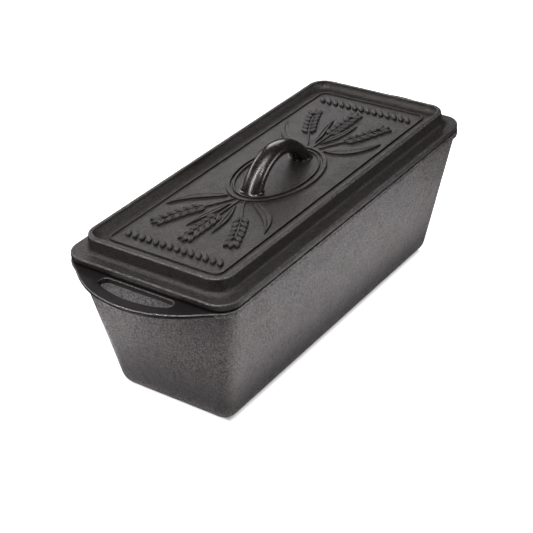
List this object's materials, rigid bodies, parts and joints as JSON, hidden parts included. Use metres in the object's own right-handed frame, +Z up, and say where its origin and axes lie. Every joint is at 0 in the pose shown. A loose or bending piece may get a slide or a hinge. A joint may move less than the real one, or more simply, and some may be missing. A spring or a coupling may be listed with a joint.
{
  "type": "cast iron loaf pan with lid",
  "caption": "Long loaf pan with leaning walls, a crescent handle with a finger slot at either end, and a loose tray-topped lid with cast wheat ornament and an arched handle.",
  "frame": {"origin": "middle of the pan's flat base, on the surface that it stands on", "axes": "+X along the pan's length, +Y across it, +Z up, the way the lid lifts"},
  "size_m": [0.4266, 0.163, 0.1699],
  "materials": {
    "pan_iron": "seasoned sand-cast iron, satin, fine grain",
    "lid_iron": "seasoned sand-cast iron, darker satin, fine grain, smoother handle"
  },
  "bodies": {
    "pan": {"pan": "pan_iron"},
    "lid": {"lid": "lid_iron"}
  },
  "joints": [
    {"name": "lid_lift", "type": "slide", "parent": "pan", "child": "lid", "axis": [0, 0, 1], "range_m": [0, 0.15]}
  ]
}
